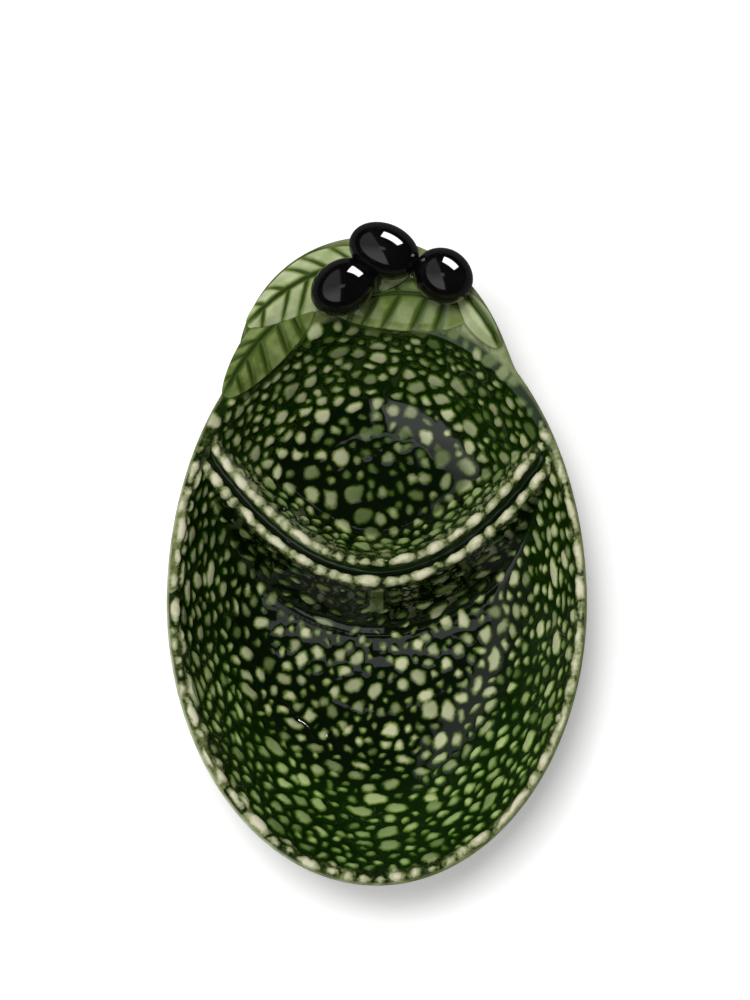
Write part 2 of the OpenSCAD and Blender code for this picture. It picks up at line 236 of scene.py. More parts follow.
def dish_height(dish, x, y):
    """Height of the dish's upper surface: floor, curved wall, then lip and shelf."""
    r, c, s = polar(x, y)
    _, hollow, floor = outlines(dish, c, s)
    climb = np.clip((r - floor) / (hollow - floor), 0, 1)
    depth = dish.edge_height - dish.floor_height
    inside = np.where(r < floor, dish.floor_height - dish.floor_sag * (1 - (r / floor) ** 2),
                      dish.floor_height + depth * climb ** dish.wall_curve)
    return np.where(r < hollow, inside, shelf_height(dish, x, y))


def shelf_height(dish, x, y):
    """Height of the sloping lip and shelf, carried on over the hollow."""
    r, c, s = polar(x, y)
    return dish.edge_height + dish.shelf_rise * (r - outlines(dish, c, s)[1])


def partition_plan(part, along, behind):
    """Plan point at a distance behind the crest's middle line, which is a parabola."""
    slope = 2 * part.bow * along / part.span ** 2
    n = np.hypot(slope, 1)
    return along - behind * slope / n, part.place + slope * along / 2 + behind / n


def partition_place(part, x, y):
    """Place along the crest's middle line and distance behind it of plan points, by Newton's steps."""
    bend = part.bow / part.span ** 2
    along = np.array(x, float)
    for _ in range(14):
        miss = y - part.place - bend * along ** 2
        pull = along - x - 2 * bend * along * miss
        stiff = np.maximum(1 + 4 * bend ** 2 * along ** 2 - 2 * bend * miss, 0.35)
        along = along - pull / stiff
    slope = 2 * bend * along
    behind = (y - part.place - bend * along ** 2 - slope * (x - along)) / np.hypot(slope, 1)
    return along, behind


def ridge_line(part):
    """Distance of each ridge from the crest's middle line, and half a ridge's width."""
    return (part.groove + part.crest) / 4, (part.crest - part.groove) / 4


def partition_height(dish, part, along, behind):
    """Height of the partition: grooved crest, then flanks that run out below the floor."""
    middle, half = ridge_line(part)
    crest = part.height + part.lift * (along / part.span) ** 2
    w = np.abs(behind)
    groove = crest - part.ridge - part.groove_depth * (1 - (2 * w / part.groove) ** 2)
    ridge = crest - part.ridge * ((w - middle) / half) ** 2
    foot = dish.floor_height - dish.floor_sag - 1 * MM
    v = (w - part.crest / 2) / part.flank
    flank = foot + (crest - part.ridge - foot) * np.maximum(1 - v, 0) ** 2 - 2 * MM * np.maximum(v - 1, 0)
    return np.where(w < part.groove / 2, groove, np.where(w < part.crest / 2, ridge, flank))


def partition_points(dish, part, along, behind):
    """Points on the partition, and how far each stands above the dish."""
    x, y = partition_plan(part, along, behind)
    z = partition_height(dish, part, along, behind)
    return np.stack([x, y, z], 1), z - dish_height(dish, x, y)


def partition_ends(dish, part, behind):
    """Where each line at a distance behind the middle line has sunk into the wall, by halving."""
    inner, outer = np.zeros_like(behind), np.full_like(behind, dish.width / 2 + part.crest)
    sunk = -1.3 * MM
    for _ in range(24):
        along = (inner + outer) / 2
        proud = partition_points(dish, part, along, behind)[1] > sunk
        inner, outer = np.where(proud, along, inner), np.where(proud, outer, along)
    return inner


def partition_lines(dish, part, count):
    """Distances behind the middle line, spaced evenly over the profile at the middle of the span."""
    w = np.linspace(-part.crest / 2 - part.flank, part.crest / 2 + part.flank, 1201)
    z = partition_height(dish, part, np.zeros_like(w), w)
    run = np.concatenate([[0], np.cumsum(np.hypot(np.diff(w), np.diff(z)))])
    return np.interp(np.linspace(0, run[-1], count), run, w)


def hollow_sections(dish, bearings=720, steps=320):
    """Tables over bearing and share of the section: radius and height from the middle to the lip's edge."""
    a = np.linspace(-math.pi, math.pi, bearings + 1)
    c, s = np.cos(a), np.sin(a)
    rim, hollow, floor = (v[:, None] for v in outlines(dish, c, s))
    share, climb = np.linspace(0, 1, 40)[None], np.linspace(0, 1, 80)[None, 1:]
    depth = dish.edge_height - dish.floor_height
    lip_end = rim - dish.lip_round
    shelf = hollow + (lip_end - hollow) * share[:, 1:]
    r = np.concatenate([floor * share, floor + (hollow - floor) * climb, shelf], 1)
    z = np.concatenate([dish.floor_height - dish.floor_sag * (1 - share ** 2) + 0 * floor,
                        dish.floor_height + depth * climb ** dish.wall_curve + 0 * floor,
                        dish.edge_height + dish.shelf_rise * (shelf - hollow)], 1)
    # The plain shelf behind the beads takes fewer points than the pebbled hollow
    weight = np.where(r[:, 1:] > hollow + dish.lip, 0.35, 1.0)
    step = np.hypot(np.diff(r, axis=1), np.diff(z, axis=1))
    even = np.linspace(0, 1, steps + 1)
    radius, height = np.empty((len(a), steps + 1)), np.empty((len(a), steps + 1))
    for i in range(len(a)):
        run = np.concatenate([[0], np.cumsum(step[i] * weight[i])])
        radius[i] = np.interp(even, run / run[-1], r[i])
        height[i] = np.interp(even, run / run[-1], z[i])
    # A slip-cast edge is soft, so the section is averaged over about 2 mm
    for _ in range(3):
        radius[:, 1:-1] = (radius[:, :-2] + 2 * radius[:, 1:-1] + radius[:, 2:]) / 4
        height[:, 1:-1] = (height[:, :-2] + 2 * height[:, 1:-1] + height[:, 2:]) / 4
    return radius, height


def section_points(tables, bearing, share):
    """Plan points and heights read from the section tables."""
    radius = tables[0]
    i = (bearing + math.pi) / (2 * math.pi) * (len(radius) - 1)
    k = share * (radius.shape[1] - 1)
    i0, k0 = np.minimum(i.astype(int), len(radius) - 2), np.minimum(k.astype(int), radius.shape[1] - 2)
    past, on = i - i0, k - k0
    r, z = ((t[i0, k0] * (1 - on) + t[i0, k0 + 1] * on) * (1 - past)
            + (t[i0 + 1, k0] * (1 - on) + t[i0 + 1, k0 + 1] * on) * past for t in tables)
    return r * np.cos(bearing), r * np.sin(bearing), z


def disc_points(flat):
    """Bearing and share of the radius of the points of a square grid laid on a disc, closer at the sides."""
    u, v = flat[:, 0], flat[:, 1]
    p, q = u * np.sqrt(1 - v * v / 2), v * np.sqrt(1 - u * u / 2)
    return np.arctan2(1.25 * q, p), np.clip(np.hypot(p, q), 0, 1)


# Pebbles: stones are laid over hollow and partition, and grooves run half way between them

# Sines of the bearing over which the beaded rim gives way to the back shelf
BACK = 0.62, 0.8
# Shares of the hollow's depth over which floor turns to wall
CLIMB = 0.05, 0.4
# Strings of beads on the rim: first and last bearing in degrees, length in bead spacings, distance outside the
# hollow and stray to the sides; then lengths of single beads
RIM_BEADS = ((138, 297, 1.0, 0.8 * MM, 0.6 * MM), (297, 402, 1.7, 1.4 * MM, 0.2 * MM))
BEAD_LENGTHS = [0.7, 0.9, 1.2, 1.6, 2.1]
# Distances of stones, as shares of the usual one, and how often each is drawn
STONE_GAPS, GAP_ODDS = [0.7, 0.88, 1.08, 1.32], [0.2, 0.3, 0.32, 0.18]
# Places tried on the dish and on the partition's flanks
BODY_TRIES, FLANK_TRIES = 30000, 14000
# Columns of a stone after its middle and its long direction, and how many stones can shape a point
RADIUS, STRETCH, SHADE, GROUP = 6, 7, 8, 9
NEIGHBOURS = 10


def stone_space(dish, points):
    """Points as the stones lie in them: on walls, stones are longer along the wall than down it."""
    base = np.minimum(dish_height(dish, points[:, 0], points[:, 1]), points[:, 2])
    return np.stack([points[:, 0], points[:, 1], 1.1 * base + 0.6 * (points[:, 2] - base)], 1)


def lay_stones(dish, part, pebbles):
    """Pebbles as rows of middle, long direction, radius, drawing-out, shade and group."""
    draw = np.random.RandomState(pebbles.seed)
    kept, cells = [], {}
    cell = pebbles.well_spacing * 1.4

    def spots(p, grain, long, wide):
        """Points along a stone: one for a round stone, more for a long one."""
        shares = (0,) if long < 1.25 * wide else (0, -1, 1) if long < 2 * wide else (0, -1, -0.5, 0.5, 1)
        return [[v + share * (long - wide) * g for v, g in zip(p, grain)] for share in shares]

    def crowded(p, gap):
        """Whether a stone here would lie too close to another one."""
        key = [int(math.floor(v / cell)) for v in p]
        for i in range(27):
            for q in cells.get((key[0] + i % 3 - 1, key[1] + i // 3 % 3 - 1, key[2] + i // 9 - 1), ()):
                if (p[0] - q[0]) ** 2 + (p[1] - q[1]) ** 2 + (p[2] - q[2]) ** 2 < ((gap + q[3]) / 2) ** 2:
                    return True
        return False

    def keep(p, gap, grain, long, wide):
        """Lays a stone; a long one keeps others away over its whole length."""
        for q in spots(p, grain, long, wide):
            cells.setdefault(tuple(int(math.floor(v / cell)) for v in q), []).append((*q, gap))
        kept.append((*p, *grain, math.sqrt(long * wide), math.sqrt(long / wide), draw.uniform(), len(kept)))

    def string(line, spacing, wide, stray):
        """Lays beads of uneven length one after the other along a line, each a little to one side."""
        run = np.concatenate([[0], np.cumsum(np.hypot(np.diff(line[:, 0]), np.diff(line[:, 1])))])
        at = 0.0
        while at < run[-1] - spacing:
            step = spacing * draw.choice(BEAD_LENGTHS)
            i = min(int(np.searchsorted(run, at + step / 2)), len(line) - 2)
            grain = (line[i + 1] - line[i - 1]) / np.linalg.norm(line[i + 1] - line[i - 1])
            aside = np.array([-grain[1], grain[0], 0]) * draw.uniform(-stray, stray)
            half = wide * draw.uniform(0.75, 1.25)
            keep(line[i] + aside, 2 * wide, grain, max(step * 0.54, half), half)
            at += step

    # Beads along the rim except at the back, then along both ridges of the crest
    for first, last, usual, out, stray in RIM_BEADS:
        a = np.linspace(math.radians(first), math.radians(last), 3001)
        r = outlines(dish, np.cos(a), np.sin(a))[1] + out
        rim = np.stack([r * np.cos(a), r * np.sin(a), dish.edge_height + 0 * r], 1)
        string(stone_space(dish, rim), usual * pebbles.bead_spacing, 1.4 * MM, stray)
    middle, half = ridge_line(part)
    along = np.linspace(-0.058, 0.058, 2401)
    for side in (-middle, middle):
        line, proud = partition_points(dish, part, along, np.full_like(along, side))
        string(stone_space(dish, line[proud > 0]), pebbles.ridge_spacing, half * 0.95, 0.3 * MM)
    # Places on floors and walls, as far as the lip, and on both flanks of the partition
    x, y, z = section_points(hollow_sections(dish), draw.uniform(-math.pi, math.pi, BODY_TRIES),
                             np.sqrt(draw.uniform(0, 1, BODY_TRIES)))
    wall = partition_height(dish, part, *partition_place(part, x, y))
    r, c, s = polar(x, y)
    open_hollow = (wall < z) & (r < outlines(dish, c, s)[1] + (0.6 + 1.8 * smooth_step(*BACK, s)) * MM)
    body = np.stack([x, y, z], 1)[open_hollow]
    w = draw.uniform(-1, 1, FLANK_TRIES) * (part.crest / 2 + part.flank)
    along = draw.uniform(-1, 1, FLANK_TRIES) * partition_ends(dish, part, w)
    places, proud = partition_points(dish, part, along, w)
    on_flank = (proud > 0) & (np.abs(w) > part.crest / 2 + 0.2 * MM)
    points = np.concatenate([body, places[on_flank]])
    # Stones on the flank that faces the bowl are drawn out into streaks
    streak = np.concatenate([np.zeros(len(body)), 1.0 * (w[on_flank] < 0)])
    mixed = draw.permutation(len(points))
    points, streak = points[mixed], streak[mixed]
    # The steeper the place, the more its stone is a wall's, but less so at the back; they are closest in front
    floor = np.where(points[:, 1] > part.place, pebbles.well_spacing, pebbles.bowl_spacing)
    level, slope = contour(dish, part, points[:, 0], points[:, 1])
    _, _, s = polar(points[:, 0], points[:, 1])
    steep = smooth_step(0.12, 0.5, slope) * (1 - 0.65 * smooth_step(0.4, 0.8, s))
    spacing = floor + (pebbles.wall_spacing * (1 - 0.12 * smooth_step(-0.3, -0.8, s)) - floor) * steep
    spacing = spacing * draw.choice(STONE_GAPS, len(points), p=GAP_ODDS)
    points = stone_space(dish, points)
    # On the floors stones lie any way, on walls and flanks roughly level and longer
    turn = draw.uniform(-math.pi, math.pi, len(points)) * (1 - 0.76 * steep)
    grain = np.stack([level[0] * np.cos(turn) - level[1] * np.sin(turn),
                      level[0] * np.sin(turn) + level[1] * np.cos(turn), 0 * turn], 1)
    wide = spacing * (draw.uniform(0.54, 0.68, len(points)) + 0.06 * steep) * (1 - 0.4 * streak)
    long = wide * (draw.uniform(1.0, 1.45, len(points)) + steep * draw.uniform(0, 0.9, len(points)) + streak)
    for p, gap, way, l, w in zip(points, spacing, grain, long, wide):
        if not any(crowded(q, gap) for q in spots(p, way, l, w)):
            keep(p, gap, way, l, w)
    stones = np.array(kept)
    # About three stones in ten have run together with a neighbour
    tree = stone_tree(stones)
    for i in np.flatnonzero(draw.uniform(size=len(stones)) < 0.3):
        stones[i, GROUP] = stones[tree.find_n(stones[i, :3], 2)[1][1], GROUP]
    return stones


def contour(dish, part, x, y):
    """Level direction of the hollow's surface at plan points, and how steep it is."""
    def top(px, py):
        return np.maximum(dish_height(dish, px, py), partition_height(dish, part, *partition_place(part, px, py)))

    step = 0.4 * MM
    rise = [(top(x + dx, y + dy) - top(x - dx, y - dy)) / (2 * step) for dx, dy in ((step, 0), (0, step))]
    slope = np.maximum(np.hypot(*rise), 1e-6)
    return (-rise[1] / slope, rise[0] / slope), slope


def stone_tree(stones):
    """Search tree over the stones' middles."""
    tree = kdtree.KDTree(len(stones))
    for i, stone in enumerate(stones):
        tree.insert(stone[:3], i)
    tree.balance()
    return tree


def pebble_field(dish, points, stones, groove):
    """For each point: distance inside its pebble's edge in metres, and the pebble's shade."""
    tree = stone_tree(stones)
    points = stone_space(dish, points)
    # Hand-cut stones: their borders are bent by a slow wobble and a fine one
    bent = np.array([Vector(p) + noise.noise_vector(Vector(p) / (3.2 * MM)) * (0.7 * MM)
                     + noise.noise_vector(Vector(p) / (1.4 * MM)) * (0.2 * MM) for p in points])
    near = np.array([[found[1] for found in tree.find_n(p, NEIGHBOURS)] for p in bent])
    row = stones[near]
    gap = bent[:, None] - row[:, :, :3]
    along = (gap * row[:, :, 3:6]).sum(2)
    across = np.maximum((gap * gap).sum(2) - along ** 2, 0)
    stretch = row[:, :, STRETCH]
    out = np.sqrt((along / stretch) ** 2 + across * stretch ** 2) - row[:, :, RADIUS]
    first = out.argmin(1)
    every = np.arange(len(points))
    own = row[:, :, GROUP] == row[every, first, GROUP][:, None]
    soft = 0.28 * MM
    pull = np.exp(-out / soft)
    mine = soft * np.log((own * pull).sum(1))
    rest = soft * np.log((~own * pull).sum(1) + 1e-12)
    border = (mine - rest) / 2 - groove / 2
    inside = -soft * np.log(np.exp(-mine / soft) + np.exp(-border / soft))
    return inside, row[every, first, SHADE]


def pebble_rise(inside, rise):
    """Height of a pebble over the pooled glaze: a low dome with a soft foot."""
    foot, dome = 0.3 * MM, 2.3 * MM
    share = np.clip((inside + foot) / dome, 0, 1)
    return rise * (1 - (1 - share) ** 2) * smooth_step(-0.4 * MM, 0.5 * MM, inside)


# Meshes and objects

def set_ramp(elements, stops):
    """Gives a colour ramp its stops as (position, hex or linear colour)."""
    while len(elements) > 1:
        elements.remove(elements[-1])
    for i, (position, tint) in enumerate(stops):
        stop = elements.new(position) if i else elements[0]
        stop.position, stop.color = position, (*(linear(tint) if isinstance(tint, str) else tint), 1)


def add_node(tree, kind, inputs=None, stops=None, **settings):
    """Adds a shader node with its settings and, for a ramp, its stops.

    Inputs map a socket's name or number to a value, a socket or a node, whose live output is linked.
    """
    made = tree.nodes.new("ShaderNode" + kind)
    made.location = (180 * len(tree.nodes), 0)
    for name, value in settings.items():
        setattr(made, name, value)
    for name, value in (inputs or {}).items():
        if isinstance(value, bpy.types.Node):
            value = next(socket for socket in value.outputs if socket.enabled)
        if isinstance(value, bpy.types.NodeSocket):
            tree.links.new(value, made.inputs[name])
        else:
            made.inputs[name].default_value = value
    if stops:
        set_ramp(made.color_ramp.elements, stops)
    return made


def new_material(name):
    """An empty node material, the function that adds nodes to it, and the place on the piece."""
    material = bpy.data.materials.new(name)
    material.use_nodes = True
    material.node_tree.nodes.clear()
    node = partial(add_node, material.node_tree)
    return material, node, node("TexCoord").outputs["Object"]


def finish_material(material, node, inputs):
    """Ends a material with its shader and gives it back."""
    node("OutputMaterial", {"Surface": node("BsdfPrincipled", inputs)})
    return material


def new_grid(across, along):
    """A flat grid of so many squares, and its plan points from -1 to 1."""
    bm = bmesh.new()
    bmesh.ops.create_grid(bm, x_segments=across, y_segments=along, size=1)
    return bm, np.array([v.co[:2] for v in bm.verts])


def widest(dish):
    """Place of the dish's widest section in the frame."""
    return BODY_LOW.y + dish.front


def place_on_dish(bm, dish, points):
    """Moves the vertices to points given from the widest section."""
    middle = widest(dish)
    for v, p in zip(bm.verts, points):
        v.co = (p[0], p[1] + middle, p[2])


def add_layer(bm, name, values):
    """Keeps one number for each vertex under a name that a material reads."""
    layer = bm.verts.layers.float.get(name) or bm.verts.layers.float.new(name)
    for v, value in zip(bm.verts, values):
        v[layer] = float(value)


def add_level(bm):
    """Keeps the surface's direction before the pebbles are raised: the fired glaze lies nearly level over them."""
    bm.normal_update()
    layer = bm.verts.layers.float_vector.new("level")
    for v in bm.verts:
        v[layer] = v.normal


def extrude_rim(bm, edges):
    """Extrudes edges, and gives the new vertices, edges and faces."""
    made = bmesh.ops.extrude_edge_only(bm, edges=edges)["geom"]
    return [[part for part in made if isinstance(part, kind)]
            for kind in (bmesh.types.BMVert, bmesh.types.BMEdge, bmesh.types.BMFace)]


def add_underside(bm, dish, height, least):
    """Closes a sheet from below, at the height that a function gives for plan points or at least so far down."""
    under = bmesh.ops.extrude_face_region(bm, geom=bm.faces[:], use_keep_orig=True)["geom"]
    low = {v for v in under if isinstance(v, bmesh.types.BMVert)}
    seat = [v for v in bm.verts if v in low]
    middle = widest(dish)
    x, y = np.array([v.co.x for v in seat]), np.array([v.co.y - middle for v in seat])
    for v, z in zip(seat, height(x, y)):
        v.co.z = min(float(z), v.co.z - least)


def add_piece(bm, name, node, materials):
    """Makes the finished mesh a smooth piece that stands for a node of the frame."""
    bmesh.ops.recalc_face_normals(bm, faces=bm.faces[:])
    mesh = bpy.data.meshes.new(name)
    bm.to_mesh(mesh)
    bm.free()
    mesh.shade_smooth()
    for material in materials:
        mesh.materials.append(material)
    piece = bpy.data.objects.new(name, mesh)
    bpy.context.scene.collection.objects.link(piece)
    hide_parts(node)
    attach(piece, "root")
    return piece


# Materials

def pebbled_glaze(colours):
    """Runny green glaze over pebbled earthenware, fired glossy.

    It breaks pale where it is thin on the stones, and pools dark and glassy between them.
    """
    name = "glazed_earthenware_pebbled"
    if name in bpy.data.materials:
        return bpy.data.materials[name]
    material, node, place = new_material(name)
    inside, shade, thin, smooth, green, wall, pool, broken, painted_lip_light = (
        node("Attribute", attribute_name=layer).outputs["Fac"]
        for layer in ("inside", "shade", "thin", "smooth", "green", "wall", "pool", "broken", "painted_lip_light"))
    # Ragged edge of the break and blotches on the stones, about 1.2 mm across
    flecks = node("TexNoise", {"Vector": place, "Scale": 1 / (1.2 * MM), "Detail": 3.0})
    ragged = node("Math", {0: flecks, 1: 0.8, 2: inside}, operation="MULTIPLY_ADD")
    # The glaze swells over about 6 mm: it fills some gaps more than others, and edges of reflections wander
    swell = node("TexNoise", {"Vector": place, "Scale": 1 / (6 * MM), "Detail": 1.0})
    edge = node("Math", {0: swell, 1: 1.0, 2: ragged}, operation="MULTIPLY_ADD")
    depth = node("MapRange", {"Value": edge, "From Min": 0.8, "From Max": 2.2})
    # Each stone has its own tone, and the glaze's thickness changes in drifts of about 14 mm
    drift = node("TexNoise", {"Vector": place, "Scale": 1 / (14 * MM), "Detail": 2.0})
    drifted = node("Math", {0: drift, 1: 0.8, 2: -0.32}, operation="MULTIPLY_ADD")
    tone = node("Math", {0: shade, 1: 0.95, 2: drifted}, operation="MULTIPLY_ADD")
    # Under thick glaze a stone is moss green; under thin glaze it has green shoulders and a cream top
    thick = node("ValToRGB", {"Fac": depth}, [
        (0.0, colours.pool), (0.14, "#061a02"), (0.3, "#162d04"), (0.5, colours.moss), (1.0, "#56653a")])
    pale = node("ValToRGB", {"Fac": depth}, [
        (0.0, colours.pool), (0.13, "#0c2202"), (0.27, "#31490c"), (0.46, colours.olive_green),
        (0.7, colours.pebble), (1.0, "#c6c8a2")])
    stone = node("Mix", {0: tone, A: thick, B: pale}, data_type="RGBA")
    # The walls are greener: less glaze has gathered in their grooves
    runny = node("Mix", {0: wall, A: stone, B: (0.003, 0.012, 0.0, 1)}, data_type="RGBA", blend_type="ADD")
    body = node("Mix", {0: green, A: runny, B: (0.84, 1.0, 0.68, 1)}, data_type="RGBA", blend_type="MULTIPLY")
    # Beads of rim and crest, where the glaze has run off
    mottle = node("Math", {0: flecks, 1: 0.55, 2: depth}, operation="MULTIPLY_ADD")
    worn = node("Math", {0: tone, 1: 0.45, 2: mottle}, operation="MULTIPLY_ADD")
    spread = node("MapRange", {"Value": worn, "From Min": 0.4, "From Max": 1.5})
    bead = node("ValToRGB", {"Fac": spread}, [
        (0.0, "#12200a"), (0.14, "#34431b"), (0.3, "#6f7a49"), (0.52, colours.bead), (0.8, "#bfc09c"),
        (1.0, "#d6d3b6")])
    beaded = node("Mix", {0: thin, A: body, B: bead}, data_type="RGBA")
    # The lip is olive on the right, in clouds of about 5 mm, and on the left it is painted paler as painted light
    # from the left
    cloud = node("TexNoise", {"Vector": place, "Scale": 1 / (5 * MM), "Detail": 4.0})
    clouded = node("Math", {0: painted_lip_light, 1: 0.4, 2: cloud}, operation="MULTIPLY_ADD")
    lip = node("ValToRGB", {"Fac": clouded}, [
        (0.3, "#5a6738"), (0.52, colours.lip), (0.72, "#979f78"), (1.0, "#c3c6a4")])
    plain = node("Mix", {0: smooth, A: beaded, B: lip}, data_type="RGBA")
    # Along the leaves' edges: darker pooled glaze, and painted shade under them
    base = node("Mix", {0: pool, A: plain, B: (*linear("#35491a"), 1)}, data_type="RGBA")
    # The gloss lies nearly level over the stones; on beads, front wall and flanks it follows them
    level = node("Attribute", attribute_name="level").outputs["Vector"]
    real = node("NewGeometry").outputs["Normal"]
    rough = node("Math", {0: thin, 1: 0.5, 2: 0.1}, operation="MULTIPLY_ADD")
    follow = node("Math", {0: broken, 1: 0.45, 2: rough}, operation="MULTIPLY_ADD")
    surface = node("Mix", {0: follow, A_WAY: level, B_WAY: real}, data_type="VECTOR")
    swollen = node("Bump", {"Height": swell, "Strength": 1.0, "Distance": 0.3 * MM, "Normal": surface})
    peel = node("TexNoise", {"Vector": place, "Scale": 1 / (2.2 * MM), "Detail": 1.0})
    relief = node("Bump", {"Height": peel, "Strength": 0.2, "Distance": 0.06 * MM, "Normal": swollen})
    gloss = node("MapRange", {"Value": cloud, "From Min": 0.3, "From Max": 0.7, "To Min": 0.03, "To Max": 0.07})
    return finish_material(material, node, {
        "Base Color": base, "Roughness": 0.6, "Specular IOR Level": 0.0, "Coat Weight": 1.0,
        "Coat Roughness": gloss, "Coat IOR": GLAZE_IOR, "Coat Normal": relief})


def plain_gloss(material, node, place, tint, cloud, gloss, peel, detail, strength, deep):
    """Ends a plain glaze: ripples of a size and depth, and a gloss that changes with the glaze's clouds."""
    ripples = node("TexNoise", {"Vector": place, "Scale": 1 / peel, "Detail": detail})
    relief = node("Bump", {"Height": ripples, "Strength": strength, "Distance": deep})
    dull = node("MapRange", {"Value": cloud, "To Min": gloss[0], "To Max": gloss[1]})
    return finish_material(material, node, {
        "Base Color": tint, "Roughness": dull, "IOR": GLAZE_IOR, "Normal": relief})


def smooth_glaze(colours):
    """The same green glaze over the plain outer wall: it runs down in streaks and is thin under the lip."""
    material, node, place = new_material("glazed_earthenware_smooth")
    # Streaks about 6 mm wide, drawn out down the wall
    drawn = node("Mapping", {"Vector": place, "Scale": (1, 1, 0.22)})
    streaks = node("TexNoise", {"Vector": drawn, "Scale": 1 / (6 * MM), "Detail": 4.0, "Distortion": 0.4})
    height = node("SeparateXYZ", {"Vector": place}).outputs["Z"]
    run = node("MapRange", {
        "Value": height, "From Min": 3 * MM, "From Max": 40 * MM, "To Min": -0.22, "To Max": 0.3})
    depth = node("Math", {0: streaks, 1: run}, operation="ADD")
    tint = node("ValToRGB", {"Fac": depth}, [
        (0.15, "#16290a"), (0.45, colours.outside), (0.72, "#7c8a4b"), (0.95, "#b1b88d")])
    return plain_gloss(material, node, place, tint, streaks, (0.06, 0.14), 2.5 * MM, 1.0, 0.3, 0.1 * MM)


def leaf_glaze(colours):
    """Pale yellow-green glaze over carved leaves: thin on the swells, dark where it fills the veins."""
    material, node, place = new_material("glazed_earthenware_leaf")
    vein, border, shade = (node("Attribute", attribute_name=layer).outputs["Fac"]
                           for layer in ("vein", "border", "shade"))
    # Clouds of thicker glaze about 5 mm across
    cloud = node("TexNoise", {"Vector": place, "Scale": 1 / (5 * MM), "Detail": 4.0})
    mixed = node("Math", {0: cloud, 1: 0.9, 2: shade}, operation="MULTIPLY_ADD")
    depth = node("Math", {0: mixed, 1: 0.6}, operation="MULTIPLY")
    swell = node("ValToRGB", {"Fac": depth}, [
        (0.3, "#475b1f"), (0.46, colours.leaf_deep), (0.68, colours.leaf), (0.95, "#bdc79c")])
    veined = node("Mix", {0: vein, A: swell, B: (*colours.vein, 1)}, data_type="RGBA")
    base = node("Mix", {0: border, A: veined, B: (*linear("#3b4e13"), 1)}, data_type="RGBA")
    return plain_gloss(material, node, place, base, cloud, (0.07, 0.16), 1.6 * MM, 2.0, 0.3, 0.12 * MM)


def olive_glaze(colours):
    """Thick black glaze, mirror-smooth, with a trace of brown where it is thinner."""
    material, node, place = new_material("glazed_earthenware_black")
    cloud = node("TexNoise", {"Vector": place, "Scale": 1 / (6 * MM), "Detail": 3.0})
    tint = node("ValToRGB", {"Fac": cloud}, [(0.35, colours.olive), (0.75, "#0b090a")])
    return plain_gloss(material, node, place, tint, cloud, (0.02, 0.07), 4 * MM, 1.0, 0.2, 0.1 * MM)


def bare_clay(colours):
    """Fired earthenware wiped clean of glaze: matt, sandy, a little darker where it has been handled."""
    material, node, place = new_material("bare_earthenware")
    # Grit of about 0.5 mm, drawn coarser than real so that it shows
    grit = node("TexNoise", {"Vector": place, "Scale": 1 / (0.5 * MM), "Detail": 4.0})
    stain = node("TexNoise", {"Vector": place, "Scale": 1 / (12 * MM), "Detail": 3.0})
    both = node("Math", {0: grit, 1: 0.6, 2: stain}, operation="MULTIPLY_ADD")
    tint = node("ValToRGB", {"Fac": both}, [(0.5, "#a8946c"), (0.8, colours.clay), (1.0, "#e6dcc0")])
    relief = node("Bump", {"Height": grit, "Strength": 0.5, "Distance": 0.15 * MM})
    return finish_material(material, node, {"Base Color": tint, "Roughness": 0.85, "IOR": 1.5, "Normal": relief})


def studio_floor(colours):
    """Matt white board: it shows white to the eye, grey in the glaze, and keeps the dish's shadow."""
    material, node, place = new_material("white_board")
    path = node("LightPath").outputs
    glow = node("Math", {0: path["Is Camera Ray"], 1: 0.28}, operation="MULTIPLY")
    tint = node("Mix", {0: path["Is Glossy Ray"], A: (*colours.ground, 1), B: (*linear("#5c5c5c"), 1)},
                data_type="RGBA")
    grain = node("TexNoise", {"Vector": place, "Scale": 1 / (2 * MM), "Detail": 2.0})
    relief = node("Bump", {"Height": grain, "Strength": 0.05, "Distance": 0.05 * MM})
    return finish_material(material, node, {
        "Base Color": tint, "Roughness": 0.9, "Specular IOR Level": 0.1, "Normal": relief,
        "Emission Color": (1, 1, 1, 1), "Emission Strength": glow})


# Pieces

